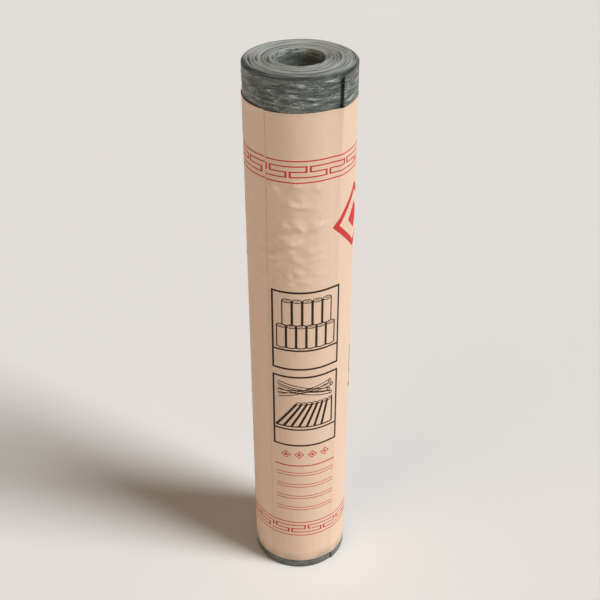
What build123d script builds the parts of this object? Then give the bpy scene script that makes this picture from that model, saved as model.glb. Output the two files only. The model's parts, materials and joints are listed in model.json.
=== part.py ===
# Roll of roofing felt, standing on one end, in its glued paper wrapper.
# Millimetres, +Z up. The origin is the middle of the foot, on the floor.
# The front of the roll looks along -Y, and angles run anticlockwise seen from above.
from build123d import *
import math
import os

os.makedirs("parts", exist_ok=True)

# The felt: one long sheet, wound tight on a bar that was drawn out afterwards
sheet_width = 1000.0  # across the sheet, so the height of the standing roll
sheet_thickness = 0.96
turn_count = 51
bore_diameter = 75.0

# The ends: a few turns lie level with each other, and the next few a little deeper
turns_per_ring = 3
ring_levels = 7
ring_relief = 1.5  # from the rings that stand proud to the deepest ones
foot_stride = 5  # levels skipped from one ring to the next, so that neighbours differ
head_stride = 3

# The lap: the sheet's outer end, a step of one thickness that runs the full height
lap_angle = -35.0

# The wrapper: one sheet of paper, pulled tight round the felt and glued to itself
paper_thickness = 0.3
paper_clearance = 0.25  # from the felt to the paper
paper_foot_margin = 20.0  # bare felt below the paper
paper_head_margin = 52.0  # bare felt above it
paper_overlap = 48.0  # glued, measured round the roll
seam_before_lap = 80.0  # degrees from the paper's free edge on to the lap

# What follows from them
bore_radius = bore_diameter / 2
felt_radius = bore_radius + turn_count * sheet_thickness  # at the lap, where it is largest
ring_width = turns_per_ring * sheet_thickness
ring_count = turn_count // turns_per_ring
blank_radius = felt_radius + ring_width  # the turned blank, before its outer turn is cut
paper_width = sheet_width - paper_foot_margin - paper_head_margin


def ring_depth(ring, stride):
    """How far one ring of turns lies back from its end of the roll."""
    return ring * stride % ring_levels / (ring_levels - 1) * ring_relief


def ring_radii(ring):
    """The inner and outer radius of one ring; the last one runs out to the blank."""
    inner = bore_radius + ring * ring_width
    outer = blank_radius if ring == ring_count - 1 else inner + ring_width
    return inner, outer


def turned_blank():
    """The turned body: the bore inside, and rings of turns stepped on both ends."""
    foot = [(r, ring_depth(i, foot_stride)) for i in range(ring_count) for r in ring_radii(i)]
    head = [
        (r, sheet_width - ring_depth(i, head_stride))
        for i in range(ring_count)
        for r in ring_radii(i)
    ]
    outline = foot + head[::-1]
    profile = Plane.XZ * make_face(Polyline(*outline, close=True))
    return revolve(profile, Axis.Z)


# A wound edge drops one sheet thickness in a full turn. Two half circles with their centres
# half a thickness apart draw that curve, and the step between its ends is the lap, here
# along +X. The same two centres serve the felt and, a little further out, its paper.
near_centre = (sheet_thickness / 4, 0)
far_centre = (-sheet_thickness / 4, 0)
near_radius = felt_radius - sheet_thickness / 4
far_radius = felt_radius - sheet_thickness * 3 / 4


def wound_face():
    """The felt's section: both half circles, closed by the straight step of the lap."""
    near = CenterArc(near_centre, near_radius, 0, 180)
    far = CenterArc(far_centre, far_radius, 180, 180)
    lap = Line(far @ 1, near @ 0)
    return make_face([near, far, lap])


def touch_angle(corner_distance, radius):
    """Where a sheet pulled tight over a corner comes down on the circle beneath it."""
    return math.degrees(math.acos(radius / corner_distance))


def paper_face(offset, overlap_lift):
    """What one side of the paper encloses, that far out from the felt.

    The paper bridges the lap in a straight line. With a lift it also climbs over its own
    first edge, runs the overlap one layer higher and ends in the free edge.
    """
    near_r = near_radius + offset
    far_r = far_radius + offset
    corner = felt_radius + offset
    near = CenterArc(near_centre, near_r, 0, 180)
    landing = 360 - touch_angle(corner - far_centre[0], far_r)
    lap_corner = near @ 0
    if overlap_lift == 0:
        far = CenterArc(far_centre, far_r, 180, landing - 180)
        return make_face([near, far, Line(far @ 1, lap_corner)])
    high_r = far_r + overlap_lift
    free_edge = 360 - seam_before_lap
    first_edge = free_edge - math.degrees(paper_overlap / far_r)
    climb = first_edge - touch_angle(high_r, far_r)
    before = CenterArc(far_centre, far_r, 180, climb - 180)
    overlap = CenterArc(far_centre, high_r, first_edge, free_edge - first_edge)
    after = CenterArc(far_centre, far_r, free_edge, landing - free_edge)
    ramp = Line(before @ 1, overlap @ 0)
    cut_edge = Line(overlap @ 1, after @ 0)
    bridge = Line(after @ 1, lap_corner)
    return make_face([near, before, ramp, overlap, cut_edge, after, bridge])


def felt_roll():
    """The turned blank, with its outer turn cut to the wound outline."""
    outer_turn = extrude(wound_face(), sheet_width)
    return Rot(0, 0, lap_angle) * (turned_blank() & outer_turn)


def paper_wrapper():
    """The paper as one closed sleeve, open at both ends."""
    outside = paper_face(paper_clearance + paper_thickness, paper_thickness)
    inside = paper_face(paper_clearance, 0)
    sleeve = extrude(outside - inside, paper_width)
    return Pos(0, 0, paper_foot_margin) * Rot(0, 0, lap_angle) * sleeve


export_step(felt_roll(), "parts/felt_roll.step")
export_step(paper_wrapper(), "parts/paper_wrapper.step")
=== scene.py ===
# %% [markdown]
# # A roll of roofing felt
# The roll stands on its end, as a yard stores it. It is one long sheet of bitumen felt, wound
# tight round a bar that was drawn out again, with one sheet of printed kraft paper glued
# round it. The measured solids come first, as a fixed frame, and every visible piece is
# built to their sizes.

import json
import math
import random

import bmesh
import bpy
import numpy as np
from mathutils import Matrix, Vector, geometry, noise


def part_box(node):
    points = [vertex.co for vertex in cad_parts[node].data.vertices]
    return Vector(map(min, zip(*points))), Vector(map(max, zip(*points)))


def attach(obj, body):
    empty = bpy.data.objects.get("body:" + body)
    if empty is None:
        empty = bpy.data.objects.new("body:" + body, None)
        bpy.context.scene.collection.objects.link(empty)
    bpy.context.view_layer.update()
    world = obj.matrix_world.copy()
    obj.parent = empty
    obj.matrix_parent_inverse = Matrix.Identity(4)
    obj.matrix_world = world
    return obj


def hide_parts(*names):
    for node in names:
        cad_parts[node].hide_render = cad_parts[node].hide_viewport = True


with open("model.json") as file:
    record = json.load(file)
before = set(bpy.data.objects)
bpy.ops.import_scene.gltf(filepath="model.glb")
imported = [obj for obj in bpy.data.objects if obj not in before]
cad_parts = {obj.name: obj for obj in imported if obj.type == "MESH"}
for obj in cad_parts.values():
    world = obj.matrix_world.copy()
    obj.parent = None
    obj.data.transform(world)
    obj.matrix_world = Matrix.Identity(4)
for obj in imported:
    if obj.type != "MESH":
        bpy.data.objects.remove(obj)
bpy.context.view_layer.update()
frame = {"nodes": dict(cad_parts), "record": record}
mm = 0.001

# %% [markdown]
# ## Sizes
# Everything follows from the solids: how tall the roll is, how wide, where the paper starts
# and stops. Reading them from the frame, and not typing them again, keeps the looks on the
# part if it is ever packed at another size.

# %% Read the sizes
felt_low, felt_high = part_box("felt_roll")
paper_low, paper_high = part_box("paper_wrapper")
mounts = {m["name"]: m for m in frame["record"]["mounts"]}
felt_corners = np.array([v.co for v in frame["nodes"]["felt_roll"].data.vertices])
from_axis = np.hypot(felt_corners[:, 0], felt_corners[:, 1])
lap_corner = felt_corners[from_axis.argmax()]

roll_height = felt_high.z
bore_radius = mounts["bore"]["dims"]["r_mm"] * mm
felt_radius = float(from_axis.max())
felt_thickness = 0.96 * mm
whole_turns = round((felt_radius - bore_radius) / felt_thickness) - 1
lap_angle = math.atan2(lap_corner[1], lap_corner[0])
print(f"roll {roll_height:.3f} m tall, radius {felt_radius / mm:.2f} mm, {whole_turns} whole turns")

paper_bottom, paper_top = paper_low.z, paper_high.z
paper_height = paper_top - paper_bottom
paper_thickness = 0.3 * mm
paper_clearance = 0.25 * mm
paper_overlap = 48 * mm
seam_before_lap = math.radians(80)
panel_angle = math.radians(-72)
paper_radius = felt_radius - felt_thickness / 2 + paper_clearance + paper_thickness
girth = math.tau * paper_radius
sheet_length = girth + paper_overlap
first_edge_angle = lap_angle - seam_before_lap - paper_overlap / paper_radius
print(f"paper sheet {sheet_length / mm:.0f} mm round by {paper_height / mm:.0f} mm tall")

# %% [markdown]
# ## Camera
# The photographer stood higher than the rolls and looked down on them. The camera stands as
# high and as far off, on the side from which the lap and the panel show where they do in the
# photo. It only turns down until the whole roll is in the picture, and its lens takes in the
# angle that the roll fills, with a margin.

# %% Place the camera
def add_object(name, data):
    """An object in the scene, made from its mesh, lamp or camera data."""
    made = bpy.data.objects.new(name, data)
    bpy.context.scene.collection.objects.link(made)
    return made


camera_distance = 1.375
camera_height = roll_height + 0.50
camera_side = math.radians(11)
look_down = math.radians(34.0)
picture_angle = math.radians(34.2)

camera_data = bpy.data.cameras.new("camera")
camera_data.sensor_width = 36
camera_data.lens = camera_data.sensor_width / 2 / math.tan(picture_angle / 2)
camera = add_object("camera", camera_data)
camera.location = Vector((math.sin(camera_side), -math.cos(camera_side), 0)) * camera_distance
camera.location.z = camera_height
camera.rotation_euler = (math.pi / 2 - look_down, 0, camera_side)
bpy.context.scene.camera = camera
print(f"lens {camera_data.lens:.1f} mm")

# %% [markdown]
# ## Helpers for shapes
# Real wound and wrapped sheet is never an exact cylinder. Small helpers give smooth,
# repeatable unevenness: a noise that takes whole arrays of points, the same noise laid round
# the roll, and an ease curve that fades an effect in and out. Two more turn points and faces
# into meshes.

# %% Noise, ease and mesh helpers
def smooth_noise(x, y, z, seed=0.0):
    """Smooth noise between about -1 and 1 at each point of three arrays."""
    x, y, z = np.broadcast_arrays(x, y, z)
    points = zip(x.ravel(), y.ravel(), z.ravel() + seed * 17.3)
    return np.array([noise.noise(Vector(p)) for p in points]).reshape(x.shape)


def noise_round(angle, fineness, along, seed):
    """Noise that closes on itself round the roll, and changes along it."""
    return smooth_noise(np.cos(angle) * fineness, np.sin(angle) * fineness, along, seed)


def ease(t):
    """0 below 0, 1 above 1 and a smooth rise between."""
    t = np.clip(t, 0, 1)
    return t * t * (3 - 2 * t)


def wrapped(angle):
    """An angle brought to between -pi and pi."""
    return (angle + math.pi) % math.tau - math.pi


def new_mesh(name, points, faces, materials):
    """A mesh from an array of points and a list of faces, with its material slots."""
    mesh = bpy.data.meshes.new(name)
    mesh.from_pydata(points.tolist(), [], faces)
    for material in materials:
        mesh.materials.append(material)
    return mesh


def closed_mesh(name, points, faces, face_materials, materials):
    """A smooth mesh object with a material for each face and every face turned outwards."""
    mesh = new_mesh(name, points, faces, materials)
    mesh.polygons.foreach_set("material_index", face_materials)
    mesh.polygons.foreach_set("use_smooth", [True] * len(mesh.polygons))
    shell = bmesh.new()
    shell.from_mesh(mesh)
    bmesh.ops.recalc_face_normals(shell, faces=shell.faces)
    open_edges = sum(1 for e in shell.edges if not e.is_manifold)
    shell.to_mesh(mesh)
    shell.free()
    triangles = sum(len(p.vertices) - 2 for p in mesh.polygons)
    print(f"{name}: {len(points)} points, {triangles} triangles, {open_edges} open edges")
    return add_object(name, mesh)


# %% [markdown]
# ## The shape that felt and paper share
# The outer turn drops one thickness in a full circle and ends in the lap. The roll is also a
# little out of round, and near the top the loose outer end of the felt stands off the roll
# under the edge of the paper. Both pieces ask the same functions for these, so the paper
# follows the felt wherever it goes.

# %% Outlines of the felt and of the paper on it
flap_reach = math.radians(28)
flap_curve = 1.5
flap_lift_top = 5.0 * mm
flap_lift_paper = 3.6 * mm
flap_fade = 190 * mm
flap_lift_foot = 0.7 * mm
flap_slack = 0.12 * mm
oval, lobed = 0.55 * mm, 0.2 * mm


def out_of_round(angle, z):
    """How far the outside stands out from a true circle."""
    slow = 1 + 0.25 * np.sin(z * 5.1) + 0.9 * ease((z - 0.8 * roll_height) / (0.2 * roll_height))
    return oval * slow * np.cos(2 * angle - 1.4) + lobed * np.cos(3 * angle + 1.6)


def flap_lift(z):
    """How far the felt's loose end stands off at a height: most above the paper's edge."""
    above = ease((z - paper_top) / (roll_height - paper_top))
    below = ease(1 - (paper_top - z) / flap_fade) ** 1.5
    held = flap_lift_paper * np.where(z < paper_top, below, 1)
    foot = flap_lift_foot * ease(1 - z / (2.2 * paper_bottom))
    return flap_slack + held + (flap_lift_top - flap_lift_paper) * above + foot


def felt_outline(angle, z):
    """The felt's outer radius at each angle and height."""
    turn = (angle - lap_angle) % math.tau
    plain = felt_radius - felt_thickness * turn / math.tau
    lift = flap_lift(z) * (1 - np.clip(turn / flap_reach, 0, 1)) ** flap_curve
    return plain + lift + out_of_round(angle, z)


def paper_outline(angle, z):
    """The paper's inner radius: on the felt, but in a straight line down from the lap."""
    corner = felt_radius + flap_lift(z) + paper_clearance
    low = felt_radius - felt_thickness + paper_clearance
    touch = np.arccos(low / corner)
    before_lap = math.tau - (angle - lap_angle) % math.tau
    bridge = low / np.cos(np.clip(touch - before_lap, 0, None)) + out_of_round(angle, z)
    return np.where(before_lap < touch, bridge, felt_outline(angle, z) + paper_clearance)


proud = paper_outline(lap_angle, paper_top) - felt_radius
print(f"paper stands {proud / mm:.1f} mm proud at the lap")

# %% [markdown]
# ## The wound felt
# The ends of the roll show every turn of the sheet, like the grain of a log. A cylinder
# with rings drawn on its ends would be simpler, but it looks flat from close by. The real
# sheet is one spiral, so the mesh is too: one long strip of end faces that runs round and
# round, with a fine gap between the turns. Groups of turns slipped while winding, so they
# stand at different heights, and here and there a turn stands off the next and leaves a
# long slot. The outer turns hang back, which rounds the shoulder. The same spiral forms the
# top and the foot, and walls join them along the bore and the outside.

# %% How high each turn stands
segments = 96
end_relief = 2.3 * mm
end_seed = {"head": 1, "foot": 9}
shoulder_drop = {"head": 5.4 * mm, "foot": 1.2 * mm}
shoulder_turns = 8.5
bundle_turns = 4.6
gap_depth = 0.85 * mm
edge_share, crown_share, slot_shift = 0.15, 0.5, (0.36, 0.15)
wall_drop, edge_drop, least_drop = 0.25 * mm, 0.07 * mm, 0.1 * mm
loose_slip = 0.9 * mm


def scattered(number, seed):
    """A repeatable number between 0 and 1 for each whole number."""
    return np.abs(np.sin(number * 12.9898 + seed * 78.233) * 43758.5453) % 1


def slipped(turn, angle, end):
    """How far back from its end the sheet's edge lies, at each point of the winding."""
    seed = end_seed[end]
    place = turn / bundle_turns + 0.5 * noise_round(angle, 0.8, turn * 0.05, seed)
    bundle, within = np.floor(place), place % 1
    step = ease((within - 0.82) / 0.18)
    level = scattered(bundle, seed) * (1 - step) + scattered(bundle + 1, seed) * step
    single = smooth_noise(turn * 1.9, 3.5, 0, seed + 1)
    wander = noise_round(angle, 1.3, turn * 0.22, seed + 2)
    relief = end_relief * np.clip(0.08 + 0.72 * level + 0.14 * single + 0.2 * wander, 0, 1)
    outermost = np.clip((turn - whole_turns + shoulder_turns) / shoulder_turns, 0, 1) ** 1.6
    uneven = 0.8 + 0.5 * noise_round(angle, 1.1, 0.4, seed + 3)
    loose = loose_slip * noise_round(angle, 0.9, np.round(turn) * 1.7, seed + 7)
    drop = (shoulder_drop[end] * np.clip(uneven, 0.2, 1.1) + loose) * outermost
    return np.clip(relief * (1 - 0.6 * outermost) + drop, least_drop, None)


def turn_shade(turn, angle, land, slots, seed):
    """A tone from 0 to 1: dusty where a turn stands proud, dark where it is sunk, partly as painted
    shade, with painted shade beside the slots and on the outer turns at the front.
    """
    each = smooth_noise(turn * 1.3, 1.5, 0, seed + 4)
    drift = noise_round(angle, 2.2, turn * 0.35, seed + 5)
    sunk = np.clip(land / end_relief, 0, 1.3)
    # Painted shade: the outer turns on the front half of the end are darker.
    front_shade = ease((turn - 0.28 * whole_turns) / (0.6 * whole_turns)) * np.clip(-np.sin(angle), 0, 1)
    # Painted shade beside the slots; sunk turns are darker, partly as painted shade.
    shade = 0.95 - 0.5 * sunk + 0.55 * each + 0.35 * drift - 0.6 * slots
    return np.clip(shade - 0.55 * front_shade, 0, 1)


# %% Columns of the spiral
last = whole_turns * segments
flap_columns = round(flap_reach / math.tau * segments)
columns = np.arange(last + segments + 1)
column_turn = columns / segments
column_angle = lap_angle - math.tau * column_turn
column_radius = bore_radius + felt_thickness * column_turn
on_end = slice(last + 1)


def opened(turn, angle, seed):
    """Where a turn stands off the one inside it, from 0 to 1: a few long slots on each end."""
    slots = ease((noise_round(angle, 1.7, np.floor(turn) * 0.83, seed + 6) - 0.26) / 0.22)
    return slots * ease((turn - 0.5) / 2) * ease((whole_turns - turn) / 2)


def end_points(end):
    """Along one end: the heights of gap, edge, crown and edge, the shade and the slots."""
    turn, angle, seed = column_turn[on_end], column_angle[on_end], end_seed[end]
    land = slipped(turn, angle, end)
    slots = opened(turn, angle, seed)
    before = np.concatenate([land[:segments], land[:-segments]])
    gap = np.maximum(land, before) + gap_depth * (1 + 2.5 * slots)
    gap[:segments] = land[:segments] + wall_drop
    edge = land + edge_drop
    heights = [np.concatenate([gap, land[-segments:] + wall_drop]), edge, land, edge]
    if end == "head":
        heights = [roll_height - h for h in heights]
    return heights, turn_shade(turn, angle, land, slots, seed), slots


# %% [markdown]
# The walls aren't smooth either. The bore kept the lumps that the bar left, and the bare felt
# above the paper is creased along the winding. Both are shifts of the wall's own points, so
# they show in the outline and in any light, and the paper's bed stays free of them.

# %% Walls of the roll
bore_lump, bore_dent, bore_hold = 1.9 * mm, 0.8 * mm, 50 * mm
foot_end, head_start = paper_bottom * 1.4, paper_top - 20 * mm
outside_levels = np.concatenate([
    np.arange(1, 7) / 6 * foot_end,
    np.linspace(foot_end, head_start, 10)[1:-1],
    np.linspace(head_start, roll_height, 62)[:-1],
])


def dented(angle, z):
    """How far the bore's wall lies outside the bar's circle: lumps where the sheet buckled."""
    broad = np.clip(0.28 + noise_round(angle, 1.6, z * 9, 31), 0, 1)
    small = np.clip(0.2 + noise_round(angle, 4.5, z * 26, 32), 0, 1)
    return bore_lump * broad + bore_dent * small


print(len(outside_levels), "rows up the outside, closest where the felt is bare")

# %% Creases in the bare felt
crease_depth = 0.8 * mm
fade_low, fade_high = 8 * mm, 4 * mm


def creased(angle, z):
    """How far the bare felt above the paper stands in or out: long shallow creases."""
    folds = 0.3 - 1.5 * np.abs(noise_round(angle, 2.3, z * 150, 33))
    fine = 0.7 * noise_round(angle, 4.2, z * 290, 34)
    under_shoulder = roll_height - shoulder_drop["head"] - z
    bare = ease((z - paper_top) / fade_low) * ease(under_shoulder / fade_high)
    return crease_depth * bare * (folds + fine)


# %% Points and faces of the felt
felt_rows = []
felt_faces, felt_slots = [], []
SIDE, END, CUT = 0, 1, 2


def add_points(angles, radii, heights, gap, tone):
    """Adds rows of x, y, z, gap and tone for points given round the axis; gives their numbers."""
    start = len(felt_rows)
    for a, r, z, g, t in zip(*np.broadcast_arrays(angles, radii, heights, gap, tone)):
        felt_rows.append((r * math.cos(a), r * math.sin(a), z, g, t))
    return np.arange(start, len(felt_rows))


def add_face(corners, slot):
    """Adds one face with its material slot."""
    felt_faces.append([int(c) for c in corners])
    felt_slots.append(slot)


def shifted(angle, radius, z):
    """A winding radius with the roll's out-of-round shape, which grows from the bore out."""
    share = (radius - bore_radius) / (felt_radius - bore_radius)
    return radius + out_of_round(angle, z) * np.clip(share, 0, 1)


def flap_share(column):
    """How much of the flap's lift a column takes: 0 at its root and 1 at its free end."""
    return np.clip((column - (last - flap_columns)) / flap_columns, 0, 1) ** flap_curve


# %% Ends of the felt
def add_end(end):
    """One end of the roll; gives the rings of points round its bore and round its outside."""
    (gap_z, *strip_z), tone, slots = end_points(end)
    free = flap_share(columns[on_end]) * flap_lift(strip_z[1])
    strips = []
    inner, middle = edge_share + slot_shift[0] * slots, crown_share + slot_shift[1] * slots
    for share, z in zip((inner, middle, 1 - edge_share), strip_z):
        radius = column_radius[on_end] + share * felt_thickness
        radius = shifted(column_angle[on_end], radius, z) + free
        strips.append(add_points(column_angle[on_end], radius, z, 0, tone))
    on_flap = np.where(columns > last, flap_share(columns - segments), 0)
    beneath = shifted(column_angle, column_radius, gap_z) + on_flap * flap_lift(gap_z)
    is_gap = (columns >= segments) & (columns <= last)
    tone = np.concatenate([tone, tone[-segments:]])
    under = add_points(column_angle, beneath, gap_z, is_gap, tone)
    above = under.copy()
    flap = np.arange(last - flap_columns + 1, last + 1)
    # The lifted flap's inner edge counts as a gap with tone 0: painted shade under the flap.
    above[flap] = add_points(column_angle[flap], beneath[flap] + free[flap], gap_z[flap], 1, 0)
    across = [above, *strips, under[segments:]]
    for s in range(last):
        for near, far in zip(across, across[1:]):
            add_face((near[s], far[s], far[s + 1], near[s + 1]), END)
    for s in (0, last):
        add_face([line[s] for line in across], CUT)
    return under[: segments + 1], np.concatenate([under[last - flap_columns:], above[flap][::-1]])


head_bore, head_outer = add_end("head")
foot_bore, foot_outer = add_end("foot")
print(len(felt_rows), "end points,", len(head_outer), "columns round the outside")

# %% Join the ends with the bore and the outside
outer_columns = np.concatenate(
    [np.arange(last - flap_columns, last + segments + 1), np.arange(last, last - flap_columns, -1)]
)
on_beneath = np.arange(len(outer_columns)) <= flap_columns
on_outside = outer_columns > last


def outside_move(angle, radius, z):
    """The outside follows the shared outline; the flap's underside lifts with it."""
    folds = np.where(on_outside, creased(angle, z), 0)
    plain = shifted(column_angle[outer_columns], column_radius[outer_columns], z)
    share = flap_share(outer_columns - np.where(on_outside, segments, 0))
    radius = plain + flap_lift(z) * np.where(on_beneath, 0, share) + folds
    # The tone is painted light and shade: paler on the crests of the creases, darker in their
    # hollows.
    return radius, np.clip(0.5 + 0.9 * folds / crease_depth, 0, 1)


def bore_move(angle, radius, z):
    """The bore's wall is dented, less so near the ends, where the turns hold it round."""
    from_end = np.minimum(z, roll_height - z)
    return radius + dented(angle, z) * (0.35 + 0.65 * ease(from_end / bore_hold)), 0.5


def add_wall(head, foot, shares, move, slots):
    """A closed wall between two rings: rows that blend from foot to head, then moved."""
    low_ring, high_ring = (np.array([felt_rows[i][:3] for i in ring]) for ring in (foot, head))
    rows = [foot]
    for share in shares:
        x, y, z = (low_ring * (1 - share) + high_ring * share).T
        angle = np.arctan2(y, x)
        radius, tone = move(angle, np.hypot(x, y), z)
        rows.append(add_points(angle, radius, z, 0, tone))
    rows.append(head)
    for low, high in zip(rows, rows[1:]):
        for i, slot in enumerate(slots):
            j = (i + 1) % len(slots)
            add_face((low[i], low[j], high[j], high[i]), slot)


bore_slots = [SIDE] * segments + [CUT]
outer_slots = [SIDE] * (flap_columns + segments) + [CUT] + [SIDE] * flap_columns
add_wall(head_bore, foot_bore, np.linspace(0, 1, 72)[1:-1], bore_move, bore_slots)
add_wall(head_outer, foot_outer, outside_levels / roll_height, outside_move, outer_slots)
print(len(felt_rows), "felt points,", len(felt_faces), "felt faces")

# %% [markdown]
# ## The paper's surface
# The wrapper is a flat printed sheet first and a tube second. Simulated cloth could be
# wrapped round the roll, but its folds would be hard to steer. Here its surface is one
# function: a place on the flat sheet goes in and a point in space comes out. It follows the
# felt, climbs over its own first edge where it is glued, and carries the soft buckles of
# hand-wrapped paper. Buckles are separate small ridges, not plain noise, because paper
# folds in lines. The sheet also lies a hair askew, so its edges don't meet exactly at the
# seam.

# %% Buckles in the paper
def make_buckles(count, heights, spread, lengths, sizes, seed):
    """Ridges as angle, height, half length, half width, tilt and size, from a fixed seed."""
    draw = random.Random(seed)
    return [(
        math.radians(draw.uniform(*spread)) - math.pi / 2,
        draw.uniform(*heights) * roll_height,
        draw.uniform(*lengths) * mm,
        draw.uniform(3.6, 7.0) * mm,
        math.radians(draw.gauss(0, 20)),
        draw.uniform(*sizes) * mm,
    ) for _ in range(count)]


buckles = make_buckles(96, (0.65, 0.835), (-63, 37), (10, 26), (0.6, 1.9), 5)
buckles += make_buckles(60, (0.06, 0.93), (-180, 180), (12, 36), (0.2, 0.6), 6)
buckles += make_buckles(45, (0.30, 0.80), (60, 250), (9, 22), (0.4, 1.2), 7)
stiff_share, stiff_reach = 0.7, 14 * mm


def off_round(angle, middle):
    """How far off an angle lies, measured round the paper."""
    return np.abs(wrapped(angle - middle)) * paper_radius


def doubled(angle):
    """1 where the sheet lies glued on its own first edge, and 0 a little way off."""
    middle = first_edge_angle + paper_overlap / 2 / paper_radius
    return ease(1 - (off_round(angle, middle) - paper_overlap / 2) / stiff_reach)


def buckled(angle, z):
    """How far the ridges lift the paper: less where it is double and stiffer."""
    lift = np.zeros(np.broadcast(angle, z).shape)
    for at, height, length, width, tilt, size in buckles:
        along = wrapped(angle - at) * paper_radius
        up = z - height
        u = (along * math.cos(tilt) + up * math.sin(tilt)) / length
        v = (up * math.cos(tilt) - along * math.sin(tilt)) / width
        near = (np.abs(u) < 1) & (np.abs(v) < 3)
        lift[near] += (size * (1 - u ** 2) ** 2 * np.exp(-v ** 2))[near]
    return lift * (1 - stiff_share * doubled(angle))


print(len(buckles), "buckles, highest", f"{max(b[-1] for b in buckles) / mm:.2f} mm")

# %% From the flat sheet to the roll
climb_start, climb_end = 6.5 * mm, 1.5 * mm
glue_gap = 0.22 * mm
askew, wavy = 1.6 * mm, 0.5 * mm
sheet_slack = 0.18 * mm
corner_room, corner_reach = 0.35 * mm, 10 * mm
edge_lift, edge_reach = 0.5 * mm, 6 * mm
flare_size, flare_reach = 1.5 * mm, 16 * mm


def paper_radius_at(x, z):
    """The radius of the paper's inner face at each place on the sheet."""
    angle = first_edge_angle + x / paper_radius
    climbed = ease((x - girth + climb_start) / (climb_start - climb_end))
    over = climbed * (paper_thickness + glue_gap)
    slack = sheet_slack * (1 + noise_round(angle, 3, z * 3.5, 41))
    corner = corner_room * ease(1 - off_round(angle, lap_angle) / corner_reach)
    loose = edge_lift * ease(1 - (sheet_length - x) / edge_reach)
    loose = loose * np.clip(smooth_noise(z * 14, 0, 0, 43), 0, 1)
    flare = flare_size * ease(1 - (paper_top - z) / flare_reach) ** 2
    flare = flare * np.clip(0.3 + noise_round(angle, 1, 0.3, 44), 0, 1)
    return paper_outline(angle, z) + over + slack + corner + loose + flare + buckled(angle, z)


def on_roll(x, z, out):
    """Points in space for places on the sheet, so far outside the paper's inner face."""
    angle = first_edge_angle + x / paper_radius
    level = z + askew * (x / sheet_length - 0.5) + wavy * np.sin(3 * angle + z * 4)
    radius = paper_radius_at(x, level) + out
    return np.stack([radius * np.cos(angle), radius * np.sin(angle), level], axis=-1)


def outward(x, z):
    """The paper's outward direction, from its slope round and up the roll."""
    step = 0.4 * mm
    round_way = on_roll(x + step, z, 0) - on_roll(x - step, z, 0)
    up_way = on_roll(x, z + step, 0) - on_roll(x, z - step, 0)
    normal = np.cross(round_way, up_way)
    return normal / np.linalg.norm(normal, axis=-1, keepdims=True)


# %% [markdown]
# ## The print, drawn flat
# Red and black ink are printed on the sheet before it is wrapped. The drawing is made of
# strokes and patches in millimetres on the flat sheet: a key fret at the top and the foot,
# a panel with two word-free pictures of how rolls lie and stand, ruled lines below them,
# three large lozenges and an empty frame. Each shape has points every few millimetres, so
# that it can bend.

# %% Drawing tools
print_step = 4.0
shapes = []


def split(corners, step, rounded=math.ceil):
    """Points along a closed outline, about a step apart, or no further than that."""
    found = []
    for (x0, y0), (x1, y1) in zip(corners, corners[1:] + corners[:1]):
        count = max(1, rounded(math.hypot(x1 - x0, y1 - y0) / step))
        found += [(x0 + (x1 - x0) * i / count, y0 + (y1 - y0) * i / count) for i in range(count)]
    return found


def patch(corners, ink):
    """A filled shape with straight sides, its corners given anticlockwise."""
    shapes.append((ink, split(corners, print_step)))


def stroke(x0, y0, x1, y1, width, ink="black"):
    """A straight line of one width with square ends that reach half a width further."""
    length = math.hypot(x1 - x0, y1 - y0)
    ax, ay = (x1 - x0) / length * width / 2, (y1 - y0) / length * width / 2
    x0, y0, x1, y1 = x0 - ax, y0 - ay, x1 + ax, y1 + ay
    patch([(x0 + ay, y0 - ax), (x1 + ay, y1 - ax), (x1 - ay, y1 + ax), (x0 - ay, y0 + ax)], ink)


def path(points, width):
    """Black strokes from point to point."""
    for start, end in zip(points, points[1:]):
        stroke(*start, *end, width)


def box(left, low, right, high):
    """The corners of a box, anticlockwise."""
    return [(left, low), (right, low), (right, high), (left, high)]


def frame_box(left, low, right, high, width):
    """The outline of a box."""
    path(box(left, low, right, high) + [(left, low)], width)


def ring(x, y, across, tall, width, sides=12):
    """The outline of an ellipse, as short strokes."""
    turn = [math.tau * i / sides for i in range(sides + 1)]
    path([(x + across * math.cos(t), y + tall * math.sin(t)) for t in turn], width)


# %% Where the print goes, in millimetres on the sheet
def at_angle(degrees):
    """Along the sheet to an angle from the middle of the panel."""
    middle = (panel_angle - first_edge_angle) * paper_radius / mm
    return middle + math.radians(degrees) * paper_radius / mm


def down(distance):
    """Up the sheet to a place that far below its top edge."""
    return paper_height / mm - distance


panel_middle = at_angle(0)
panel_half = 58.0
panel_left, panel_right = panel_middle - panel_half, panel_middle + panel_half
print(f"panel from {panel_left:.0f} to {panel_right:.0f} mm along the sheet")

# %% The fret
fret_line, fret_upright = 2.1, 3.3
fret_height = 34.6
fret_period = 63.0
fret_gap = 6.5
fret_shift = 2.4
fret_start, fret_end = 12.0, sheet_length / mm - 2


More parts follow.
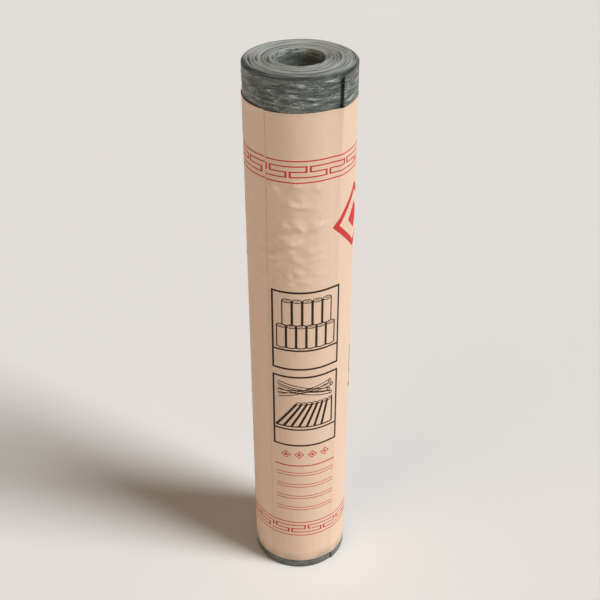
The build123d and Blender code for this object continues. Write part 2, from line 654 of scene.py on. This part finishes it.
def fret(top):
    """A band of key pattern: one folded line, heavier where it stands, between straight ones."""
    for y in (down(top), down(top + fret_height)):
        stroke(fret_start, y, fret_end, y, fret_line, "red")
    high, middle, low = (down(top + fret_height / 4 * n) for n in (1, 2, 3))
    gap_middle = panel_middle + fret_shift
    first = gap_middle + fret_gap / 2 - fret_period * math.ceil(gap_middle / fret_period)
    half = fret_period / 2
    points = []
    for n in range(math.ceil(fret_end / fret_period) + 1):
        a = first + n * fret_period
        b, c, d = a + half, a + 2 * half - fret_gap, a + 3 * half - fret_gap
        points += [(a, middle), (a, high), (c, high), (c, middle)]
        points += [(b, middle), (b, low), (d, low), (d, middle)]
    for (x0, y0), (x1, y1) in zip(points, points[1:]):
        start, end = (min(max(x, fret_start), fret_end) for x in (x0, x1))
        if x0 == x1 and fret_start < x0 < fret_end:
            foot, head = min(y0, y1) - fret_line / 2, max(y0, y1) + fret_line / 2
            patch(box(x0 - fret_upright / 2, foot, x0 + fret_upright / 2, head), "red")
        elif start != end:
            stroke(start, y0, end, y1, fret_line, "red")


fret(74)
fret(823)
print(len(shapes), "strokes in the two frets")

# %% Tools for the two pictures
picture_tall = 154


def picture_frame(top, strip):
    """A black box with an empty strip along its foot."""
    frame_box(panel_left, down(top + picture_tall), panel_right, down(top), 3.8)
    stroke(panel_left, down(top + strip), panel_right, down(top + strip), 3.4)


def standing_rolls(left, low, count, pitch, tall):
    """A row of upright rolls: ellipses on top and dark gaps between them."""
    high = low + tall
    for n in range(count):
        middle = left + pitch * (n + 0.5)
        ring(middle, high, pitch / 2 - 0.9, 3.4, 1.7)
        stroke(middle - 2.5, high - 0.4, middle + 2.5, high + 0.4, 1.4)
        if n:
            stroke(left + pitch * n, low, left + pitch * n, high - 2, 4.2)
    for x in (left + 0.4, left + pitch * count - 0.4):
        stroke(x, low + 1, x, high, 2.2)
    steps = range(count * 4 + 1)
    feet = [(left + pitch * i / 4, low - 2.2 * math.sin(math.pi * (i % 4) / 4)) for i in steps]
    path(feet, 2.1)


def lying_roll(x0, y0, x1, y1, thick):
    """A long roll seen from the side: two lines, closed by a small ellipse at one end."""
    length = math.hypot(x1 - x0, y1 - y0)
    nx, ny = -(y1 - y0) / length * thick / 2, (x1 - x0) / length * thick / 2
    for side in (1, -1):
        stroke(x0 + side * nx, y0 + side * ny, x1 + side * nx, y1 + side * ny, 1.8)
    ring(x1, y1, thick * 0.42, thick * 0.56, 1.6)


# %% Standing rolls above, lying and leaning rolls below
first_picture, second_picture = 304, 475
picture_frame(first_picture, 115)
standing_rolls(panel_left + 17, down(first_picture + 62), 5, 17.0, 46)
standing_rolls(panel_left + 7, down(first_picture + 108), 6, 17.0, 42)

picture_frame(second_picture, 117)
lying = down(second_picture)
pile = ((8, -14, 100, -36), (10, -24, 104, -44), (10, -42, 102, -18), (8, -33, 106, -27))
for x0, y0, x1, y1 in pile:
    lying_roll(panel_left + x0, lying + y0, panel_left + x1, lying + y1, 5.5)
lean_low, lean_high = lying - 108, lying - 60
for n in range(7):
    foot_x, head_x = panel_left + 6 + 13.5 * n, panel_left + 40 + 9.5 * n
    stroke(foot_x, lean_low, head_x, lean_high, 4.6)
    ring(head_x + 5, lean_high + 2.5, 4.2, 2.6, 1.7)
stroke(panel_left + 4, lean_low - 2, panel_right - 10, lean_low - 2, 2.8)
stroke(panel_right - 9, lean_low, panel_right - 9, lean_high + 6, 2.8)
print(len(shapes), "strokes with the pictures")

# %% Ruled lines and lozenges
def ruled(distance, indent, width):
    """A red line across the panel, that far below the sheet's top edge."""
    y = down(distance)
    stroke(panel_left + indent, y, panel_right - indent, y, width, "red")


def lozenge(x, y, half_wide, half_tall, width, core=0.4):
    """A diamond outline with a solid diamond inside."""
    inner_wide, inner_tall = half_wide - width, half_tall - width * half_tall / half_wide
    for sx, sy in ((1, 1), (-1, 1), (-1, -1), (1, -1)):
        outer = [(x + sx * half_wide, y), (x, y + sy * half_tall)]
        corners = outer + [(x, y + sy * inner_tall), (x + sx * inner_wide, y)]
        patch(corners if sx * sy > 0 else corners[::-1], "red")
    wide, tall = half_wide * core, half_tall * core
    patch([(x + wide, y), (x, y + tall), (x - wide, y), (x, y - tall)], "red")


for n in (-1.5, -0.5, 0.5, 1.5):
    lozenge(panel_middle + n * 24, down(651), 9, 9, 2.4)
ruled(678, 2, 2.6)
for n in range(4):
    for half_gap in (3.2, -3.2):
        ruled(699 + 29 * n + half_gap, 4, 1.5)
for degrees in (66.5, 151, 236):
    lozenge(at_angle(degrees), down(195), 57, 59, 13)
frame_box(at_angle(72), down(548), at_angle(262), down(461), 4.0)
frame_box(at_angle(72) + 9, down(539), at_angle(262) - 9, down(470), 1.6)
print(len(shapes), "printed shapes")

# %% [markdown]
# ## The sheet as a mesh
# An image laid on the sheet would blur from close by. The ink has crisp edges at any
# distance if its outlines are real edges of the mesh. A constrained triangulation does
# that: it takes the printed outlines, fills the sheet with evenly spaced points between
# them, and reports which triangles lie under which shape.

# %% Points over the flat sheet
grid_step, row_share = 3.5, 0.87
keep_off, outline_step = 1.3, 1.0
sheet_wide, sheet_tall = sheet_length / mm, paper_height / mm


def square(x, y):
    """The small square of the sheet that a place lies in."""
    return math.floor(x / keep_off), math.floor(y / keep_off)


def taken_squares():
    """The small squares that a printed outline runs through, and the ones beside them."""
    through = {square(*place) for _, outline in shapes for place in split(outline, outline_step)}
    around = [(dx, dy) for dx in (-1, 0, 1) for dy in (-1, 0, 1)]
    return {(column + dx, row + dy) for column, row in through for dx, dy in around}


def filler_points(step, taken=()):
    """Evenly spaced points in staggered rows, off the sheet's edges and off the print."""
    found = []
    rows, count = round(sheet_tall / step / row_share), round(sheet_wide / step)
    for j in range(1, rows):
        y = sheet_tall * j / rows
        for i in range(count + 1):
            x = (i + 0.5 * (j % 2)) * sheet_wide / count
            if step / 2 < x < sheet_wide - step / 2 and square(x, y) not in taken:
                found.append((x, y))
    return found


# %% Triangulate both faces of the sheet
def triangulate(points, loops):
    """Points, triangles, the loops that each triangle lies in, and the points' new numbers."""
    made = geometry.delaunay_2d_cdt([Vector(p) for p in points], [], loops, 0, 1e-4, True)
    number = {old: new for new, olds in enumerate(made[3]) for old in olds}
    return np.array([tuple(v) for v in made[0]]), made[2], made[5], number


border = split(box(0, 0, sheet_wide, sheet_tall), grid_step, round)
front_points = border + filler_points(grid_step, taken_squares())
loops = []
for _, outline in shapes:
    loops.append(list(range(len(front_points), len(front_points) + len(outline))))
    front_points += outline
front, front_triangles, shapes_under, front_number = triangulate(front_points, loops)
back, back_triangles, _, back_number = triangulate(border + filler_points(2 * grid_step), [])
behind = {front_number[i]: back_number[i] for i in range(len(border))}

inked = {"red": [], "black": []}
for triangle, found in zip(front_triangles, shapes_under):
    if found:
        inked[shapes[found[0]][0]].append(triangle)
print(len(front_triangles), "triangles,", len(inked["red"]), "red,", len(inked["black"]), "black")

# %% [markdown]
# ## From flat layers to thin solids
# Paper has a front, a back and a cut edge, and an ink film has them too, only thinner. One
# function makes both. It also sets the shading normals from the surface's own formula, so
# that the long thin triangles beside the printed lines don't show.

# %% A thin solid on the roll
def edge_pairs(triangles):
    """The edges that only one triangle has, in that triangle's direction."""
    edges = {(t[i], t[(i + 1) % 3]) for t in triangles for i in range(3)}
    return sorted((a, b) for a, b in edges if (b, a) not in edges)


def sheet_layer(name, outer, outer_triangles, inner, inner_triangles, behind, heights, material):
    """A thin solid between two triangulated flat faces that share their border points."""
    (x, z), (u, w) = ((flat[:, 0] * mm, paper_bottom + flat[:, 1] * mm) for flat in (outer, inner))
    points = np.concatenate([on_roll(x, z, heights[0]), on_roll(u, w, heights[1])])
    normals = np.concatenate([outward(x, z), -outward(u, w)])
    first = len(outer)
    faces = [tuple(t) for t in outer_triangles]
    faces += [tuple(first + i for i in reversed(t)) for t in inner_triangles]
    smooth = len(faces)
    faces += [(b, a, first + behind[a], first + behind[b]) for a, b in edge_pairs(outer_triangles)]
    mesh = new_mesh(name, points, faces, [material])
    mesh.polygons.foreach_set("use_smooth", [i < smooth for i in range(len(faces))])
    corners = np.zeros(len(mesh.loops), dtype=int)
    mesh.loops.foreach_get("vertex_index", corners)
    directions = normals[corners]
    directions[3 * smooth:] = 0
    mesh.normals_split_custom_set(directions.tolist())
    print(f"{name}: {len(points)} points, {2 * len(faces) - smooth} triangles")
    return add_object(name, mesh)


def store(piece, name, values):
    """Keeps one number for each point, for the piece's material to read."""
    piece.data.attributes.new(name, "FLOAT", "POINT").data.foreach_set("value", values)


# %% [markdown]
# ## Effects that several finishes share
# Dust, fibres, streaks and specks show on more than one surface, so each is one node group
# with its own inputs. A group only puts out a mask or a height. The shader itself stays in
# each material, where a render and an export can both find it.

# %% Helpers for node trees
def wire(target, value):
    """Feeds an input from a socket, or sets it to a plain value."""
    if isinstance(value, bpy.types.NodeSocket):
        target.id_data.links.new(value, target)
    else:
        target.default_value = value


def add_node(tree, kind, given=None, **settings):
    """A shader node of one kind, with its settings and what its inputs are given."""
    made = tree.nodes.new("ShaderNode" + kind)
    for key, value in settings.items():
        setattr(made, key, value)
    for label, value in (given or {}).items():
        wire(made.inputs[label], value)
    return made


def math_node(tree, operation, a, b, clamp=False):
    """The result of one operation on two numbers."""
    return add_node(tree, "Math", {0: a, 1: b}, operation=operation, use_clamp=clamp).outputs[0]


def times(tree, a, b):
    """Two numbers multiplied."""
    return math_node(tree, "MULTIPLY", a, b)


def plus(tree, a, b):
    """Two numbers added."""
    return math_node(tree, "ADD", a, b)


def own_place(tree):
    """The object's own coordinates, in metres."""
    return add_node(tree, "TexCoord").outputs["Object"]


def noise_value(tree, vector, detail, roughness, scale=1.0):
    """Noise of 0 to 1 at scaled coordinates."""
    given = {"Vector": vector, "Scale": scale, "Detail": detail, "Roughness": roughness}
    return add_node(tree, "TexNoise", given).outputs["Fac"]


def remap(tree, value, low, high, to_low=0.0, to_high=1.0):
    """A clamped change of range."""
    given = dict(enumerate((value, low, high, to_low, to_high)))
    return add_node(tree, "MapRange", given, clamp=True).outputs[0]


def new_group(name, inputs, output="Mask"):
    """A node group: its tree, its number inputs by name, and the output still to be fed."""
    tree = bpy.data.node_groups.new(name, "ShaderNodeTree")
    for label, default in inputs.items():
        socket = tree.interface.new_socket(label, in_out="INPUT", socket_type="NodeSocketFloat")
        socket.default_value = default
    tree.interface.new_socket(output, in_out="OUTPUT", socket_type="NodeSocketFloat")
    into, out = tree.nodes.new("NodeGroupInput"), tree.nodes.new("NodeGroupOutput")
    return tree, into.outputs, out.inputs[0]


def placed(tree, group, **values):
    """A group placed in a material with its own values; gives its mask or height."""
    return add_node(tree, "Group", values, node_tree=group).outputs[0]


# %% Streaks, dust, specks and fibres as groups
def make_streaks():
    """Fine uneven lines: long one way and narrow the other."""
    tree, given, out = new_group("streaks", {"Across": 60.0, "Up": 600.0})
    scale = add_node(tree, "CombineXYZ", {0: given["Across"], 1: given["Across"], 2: given["Up"]})
    stretch = {0: own_place(tree), 1: scale.outputs[0]}
    place = add_node(tree, "VectorMath", stretch, operation="MULTIPLY").outputs[0]
    wire(out, remap(tree, noise_value(tree, place, 4.0, 0.6), 0.3, 0.7))
    return tree


def make_dust():
    """Soft cloudy patches with grainy edges, more of them with a higher amount."""
    tree, given, out = new_group("dust", {"Size": 12.0, "Amount": 0.5})
    place = own_place(tree)
    cloud = noise_value(tree, place, 5.0, 0.62, given["Size"])
    grain = noise_value(tree, place, 2.0, 0.5, times(tree, given["Size"], 45.0))
    start = math_node(tree, "SUBTRACT", 1.08, times(tree, given["Amount"], 0.7))
    mixed = plus(tree, cloud, times(tree, grain, 0.35))
    wire(out, remap(tree, mixed, start, plus(tree, start, 0.3)))
    return tree


def make_specks():
    """Small scattered grains, each with its own ragged outline, size and strength."""
    tree, given, out = new_group("specks", {"Size": 500.0, "Amount": 0.2})
    place = own_place(tree)
    ragged = add_node(tree, "TexNoise", {"Vector": place, "Scale": times(tree, given["Size"], 1.6)})
    push = {0: ragged.outputs["Color"], "Scale": math_node(tree, "DIVIDE", 1.1, given["Size"])}
    shift = add_node(tree, "VectorMath", push, operation="SCALE").outputs[0]
    moved = add_node(tree, "VectorMath", {0: place, 1: shift}, operation="ADD").outputs[0]
    cells = add_node(tree, "TexVoronoi", {"Vector": moved, "Scale": given["Size"]}).outputs
    chance, strength, size = add_node(tree, "SeparateColor", {0: cells["Color"]}).outputs
    chosen = math_node(tree, "LESS_THAN", chance, given["Amount"])
    reach = remap(tree, size, 0, 1, 0.18, 0.55)
    core = remap(tree, cells["Distance"], reach, times(tree, reach, 0.3))
    core = times(tree, core, remap(tree, strength, 0, 1, 0.25, 1.0))
    wire(out, times(tree, chosen, core))
    return tree


def make_fibres():
    """The tangled short fibres of paper."""
    tree, given, out = new_group("fibres", {"Size": 420.0})
    wire(out, noise_value(tree, own_place(tree), 4.0, 0.7, given["Size"]))
    return tree


streaks, dust, specks, fibres = make_streaks(), make_dust(), make_specks(), make_fibres()
print("node groups:", ", ".join(g.name for g in bpy.data.node_groups))


# %% Helpers for materials
def linear(red, green, blue):
    """A colour picker's numbers, 0 to 255, turned into the shader's own values."""
    values = [c / 255 for c in (red, green, blue)]
    return [c / 12.92 if c <= 0.04045 else ((c + 0.055) / 1.055) ** 2.4 for c in values] + [1.0]


def new_material(name, colour, roughness, sheen=0.5):
    """A material with its shader; the colour also serves as the plain viewport colour."""
    made = bpy.data.materials.new(name)
    made.use_nodes = True
    made.diffuse_color = linear(*colour)
    tree = made.node_tree
    shader = tree.nodes["Principled BSDF"]
    wire(shader.inputs["Base Color"], linear(*colour))
    wire(shader.inputs["Roughness"], roughness)
    wire(shader.inputs["Specular IOR Level"], sheen)
    return made, tree, shader


def mix_colour(tree, share, first, second):
    """Two colours mixed by a share; each is a socket, or a colour as a picker shows it."""
    first, second = (linear(*c) if isinstance(c, tuple) else c for c in (first, second))
    return add_node(tree, "Mix", {"Factor": share, 6: first, 7: second}, data_type="RGBA").outputs[2]


def layered(tree, colour, layers):
    """Colours laid over a first one, each through a mask and with its own strength."""
    for mask, strength, over in layers:
        colour = mix_colour(tree, times(tree, mask, strength), colour, over)
    return colour


def attribute(tree, name):
    """A number stored on the mesh's points."""
    return add_node(tree, "Attribute", attribute_name=name).outputs["Fac"]


def dress(tree, shader, colour, height, depth, strength):
    """Feeds the shader its colour, and normals from a height that counts in a depth in metres."""
    wire(shader.inputs["Base Color"], colour)
    bump = add_node(tree, "Bump", {"Height": height, "Distance": depth, "Strength": strength})
    wire(shader.inputs["Normal"], bump.outputs["Normal"])


# %% [markdown]
# ## Felt finishes
# The felt is paper soaked in bitumen: nearly black, and grey with mineral dust wherever it
# has been handled. The ends collect the most dust; painted shade darkens the slots, the gaps
# and the outer turns at the front, and in part the sunk turns. The side keeps dust in specks
# and in short scuffs, made paler on the crests of its creases as a painted highlight, while
# painted shade keeps the hollows dark, and a fresh cut edge is black. The mesh carries a
# tone for each point, for dust and this painted light and shade, so that they agree with
# the shape.

# %% Felt side
def make_felt_side():
    """The sheet's face: dark, lined and specked, with scuffs made paler on its crests as a painted
    highlight and painted shade in its hollows.
    """
    material, tree, shader = new_material("felt_side", (86, 94, 90), 0.6, 0.42)
    tone = attribute(tree, "tone")
    lines = placed(tree, streaks, Across=42.0, Up=260.0)
    cloud = placed(tree, dust, Size=75.0, Amount=0.62)
    dark = placed(tree, dust, Size=48.0, Amount=0.42)
    grain = placed(tree, specks, Size=420.0, Amount=0.44)
    fine = placed(tree, specks, Size=1500.0, Amount=0.62)
    scuffs_and_crest_highlight = remap(tree, placed(tree, streaks, Across=70.0, Up=900.0), 0.42, 0.84)
    colour = mix_colour(tree, lines, (42, 48, 45), (106, 114, 110))
    colour = layered(tree, colour, [
        # Painted shade: darker where the tone is low, in the hollows of the creases.
        (remap(tree, tone, 0.1, 0.5, 1, 0), 0.65, (30, 35, 34)),
        (cloud, 0.3, (126, 135, 130)),
        (dark, 0.5, (36, 41, 39)),
        # Scuffs, stronger where the tone is high on the crests: partly painted highlight.
        (scuffs_and_crest_highlight, remap(tree, tone, 0.5, 0.85, 0.12, 1), (208, 215, 210)),
        (fine, 0.4, (50, 55, 53)),
        (grain, 0.85, (204, 211, 206)),
    ])
    wire(shader.inputs["Roughness"], remap(tree, cloud, 0, 1, 0.46, 0.72))
    height = plus(tree, plus(tree, times(tree, lines, 0.8), grain), times(tree, fine, 0.6))
    dress(tree, shader, colour, height, 0.35 * mm, 0.8)
    return material


# %% Felt ends
def make_felt_end():
    """The sheet's edges on both ends: a tone for each turn, dusty, with painted shade on the slots,
    the front's outer turns and in part the sunk turns, and painted black shade in the gaps.
    """
    material, tree, shader = new_material("felt_end", (138, 142, 139), 0.85, 0.3)
    grain = placed(tree, specks, Size=900.0, Amount=0.48)
    # The tone holds dust and painted shade: darker beside slots, on the front's outer turns and
    # partly on sunk turns.
    shade = remap(tree, attribute(tree, "tone"), 0.05, 0.95)
    colour = mix_colour(tree, shade, (58, 63, 61), (176, 181, 178))
    colour = layered(tree, colour, [
        (placed(tree, dust, Size=30.0, Amount=0.55), 0.35, (176, 180, 177)),
        (grain, 0.45, (192, 195, 192)),
        # Painted shade in the gaps between the turns.
        (remap(tree, attribute(tree, "gap"), 0.2, 1.0), 0.85, (40, 43, 42)),
    ])
    tooth = noise_value(tree, own_place(tree), 4.0, 0.65, 900.0)
    dress(tree, shader, colour, plus(tree, tooth, times(tree, grain, 0.7)), 0.4 * mm, 0.8)
    return material


# %% Felt cut edge
def make_felt_cut():
    """The cut that ends the sheet: nearly black, with faint threads."""
    material, tree, shader = new_material("felt_cut", (40, 41, 40), 0.6)
    threads = placed(tree, streaks, Across=900.0, Up=260.0)
    colour = mix_colour(tree, times(tree, threads, 0.5), (30, 31, 30), (74, 77, 74))
    dress(tree, shader, colour, threads, 0.2 * mm, 0.6)
    return material


felt_materials = [make_felt_side(), make_felt_end(), make_felt_cut()]
felt_table = np.array(felt_rows)
felt = closed_mesh("wound_felt", felt_table[:, :3], felt_faces, felt_slots, felt_materials)
store(felt, "gap", felt_table[:, 3])
store(felt, "tone", felt_table[:, 4])
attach(felt, "root")
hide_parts("felt_roll")

# %% [markdown]
# ## Paper and ink
# Brown wrapping paper has short fibres in every direction, a fine grain up the sheet from the
# machine, and a soft sheen. Rubbed and soiled places are a little darker. The inks are thin
# and soak in, so the paper's fibres and a little of its colour show through.

# %% Kraft paper
def make_paper_relief():
    """The paper's relief, which shows in the inks as well: soft waves with fine fibres."""
    tree, given, out = new_group("paper_relief", {"Waves": 45.0, "Fibres": 1400.0}, "Height")
    place = own_place(tree)
    wave = noise_value(tree, place, 2.0, 0.5, given["Waves"])
    fibre = noise_value(tree, place, 3.0, 0.6, given["Fibres"])
    wire(out, plus(tree, times(tree, wave, 1.3), times(tree, fibre, 0.05)))
    return tree


paper_relief = make_paper_relief()
relief_depth, relief_strength = 1.0 * mm, 0.5


def make_kraft():
    """Bare paper: fibres, faint grain, cloudy and smudged places, and dirt along its edges."""
    material, tree, shader = new_material("kraft_paper", (235, 206, 181), 0.68, 0.3)
    fibre = placed(tree, fibres, Size=420.0)
    colour = mix_colour(tree, remap(tree, fibre, 0.3, 0.7), (232, 201, 175), (242, 214, 191))
    colour = layered(tree, colour, [
        (placed(tree, streaks, Across=300.0, Up=22.0), 0.16, (218, 186, 158)),
        (placed(tree, dust, Size=7.0, Amount=0.5), 0.25, (218, 184, 155)),
        (placed(tree, dust, Size=13.0, Amount=0.16), 0.35, (176, 148, 122)),
        (placed(tree, specks, Size=700.0, Amount=0.08), 0.5, (160, 128, 100)),
        (attribute(tree, "soil"), 1, (150, 128, 108)),
    ])
    wire(shader.inputs["Roughness"], remap(tree, fibre, 0.2, 0.8, 0.6, 0.78))
    dress(tree, shader, colour, placed(tree, paper_relief), relief_depth, relief_strength)
    return material


# %% Inks
def make_ink(name, full, thin):
    """Ink of a full colour, thin on the paper's fibres and rubbed off in small clouds."""
    material, tree, shader = new_material(name, full, 0.7, 0.2)
    on_fibres = remap(tree, placed(tree, fibres, Size=620.0), 0.5, 0.78, 0.0, 0.5)
    worn = times(tree, placed(tree, dust, Size=60.0, Amount=0.35), 0.25)
    colour = mix_colour(tree, math_node(tree, "ADD", on_fibres, worn, True), full, thin)
    dress(tree, shader, colour, placed(tree, paper_relief), relief_depth, relief_strength)
    return material


kraft = make_kraft()
red_ink = make_ink("red_ink", (204, 60, 60), (222, 124, 108))
black_ink = make_ink("black_ink", (48, 34, 25), (92, 70, 54))

# %% The paper on the roll
paper = sheet_layer(
    "paper_sheet", front, front_triangles, back, back_triangles, behind, (paper_thickness, 0), kraft
)


soil_foot, soil_top = 26 * mm, 9 * mm


def soiled(points):
    """Dirt along the sheet's edges: most at the foot and a little at the top."""
    x, y, z = points.T
    ragged = 0.5 + 0.5 * noise_round(np.arctan2(y, x), 5, z * 9, 51)
    foot = 0.5 * ease(1 - (z - paper_bottom) / soil_foot)
    top = 0.1 * ease(1 - (paper_top - z) / soil_top)
    return np.clip((foot + top) * (0.3 + 1.1 * ragged), 0, 0.6)


store(paper, "soil", soiled(np.array([v.co for v in paper.data.vertices])))
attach(paper, "root")
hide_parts("paper_wrapper")

# %% The ink on the paper
ink_lift, ink_root = 0.04 * mm, 0.03 * mm


def ink_film(name, triangles, material):
    """A film over some of the paper's own triangles, sunk a little into its face."""
    used = sorted({i for t in triangles for i in t})
    number = {old: new for new, old in enumerate(used)}
    local = [[number[i] for i in t] for t in triangles]
    flat = (front[used], local)
    heights = (paper_thickness + ink_lift, paper_thickness - ink_root)
    film = sheet_layer(name, *flat, *flat, range(len(used)), heights, material)
    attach(film, "root")


ink_film("red_print", inked["red"], red_ink)
ink_film("black_print", inked["black"], black_ink)

# %% [markdown]
# ## Floor and light
# A pale floor runs out into a pale room. The main light is one broad lamp at the camera's
# right. A weak warm lamp at the left stands for the light that other paper-wrapped rolls
# would throw back. Both are so far off that the floor stays even and the roll is lit alike
# from foot to head. The floor turns clear from beneath, so the foot can be looked at as well.

# %% Floor
def make_floor():
    """A pale matt floor that is clear when it is seen from beneath."""
    material, tree, shader = new_material("studio_floor", (242, 243, 243), 0.9)
    mottle = noise_value(tree, own_place(tree), 3.0, 0.5, 2.0)
    colour = mix_colour(tree, mottle, (239, 240, 240), (245, 246, 246))
    wire(shader.inputs["Base Color"], colour)
    clear = add_node(tree, "BsdfTransparent").outputs[0]
    below = add_node(tree, "NewGeometry").outputs["Backfacing"]
    chosen = add_node(tree, "MixShader", {0: below, 1: shader.outputs[0], 2: clear})
    wire(tree.nodes["Material Output"].inputs["Surface"], chosen.outputs[0])
    return material


floor_half = 30.0
corners = np.array([(x, y, 0) for x, y in box(-floor_half, -floor_half, floor_half, floor_half)])
floor = add_object("floor", new_mesh("floor", corners, [(0, 1, 2, 3)], [make_floor()]))


# %% Lamps
def far_lamp(name, right, up, strength, spread, colour):
    """A lamp so far off that it lights all alike; its angles are from the camera's side."""
    data = bpy.data.lights.new(name, "SUN")
    data.energy, data.angle, data.color = strength, math.radians(spread), colour
    turn = (math.pi / 2 - math.radians(up), 0, camera_side + math.radians(right))
    add_object(name, data).rotation_euler = turn


far_lamp("key", right=70, up=45, strength=2.9, spread=22, colour=(1.0, 0.99, 0.98))
far_lamp("fill", right=-46, up=42, strength=0.55, spread=40, colour=(1.0, 0.66, 0.38))
print("lamps:", ", ".join(lamp.name for lamp in bpy.data.lights))


# %% Room
def make_room(light, seen):
    """A pale world: one strength as light and another where it is seen or mirrored."""
    world = bpy.data.worlds.new("room")
    bpy.context.scene.world = world
    world.use_nodes = True
    tree = world.node_tree
    lit, shown = tree.nodes["Background"], add_node(tree, "Background")
    for back, grey, strength in ((lit, (250, 250, 250), light), (shown, (238, 238, 236), seen)):
        wire(back.inputs["Color"], linear(*grey))
        wire(back.inputs["Strength"], strength)
    ray = add_node(tree, "LightPath").outputs
    direct = math_node(tree, "MAXIMUM", ray["Is Camera Ray"], ray["Is Glossy Ray"])
    direct = math_node(tree, "MAXIMUM", direct, ray["Is Transmission Ray"])
    chosen = add_node(tree, "MixShader", {0: direct, 1: lit.outputs[0], 2: shown.outputs[0]})
    wire(tree.nodes["World Output"].inputs["Surface"], chosen.outputs[0])


make_room(light=0.07, seen=1.0)
bpy.context.scene.view_settings.view_transform = "Standard"
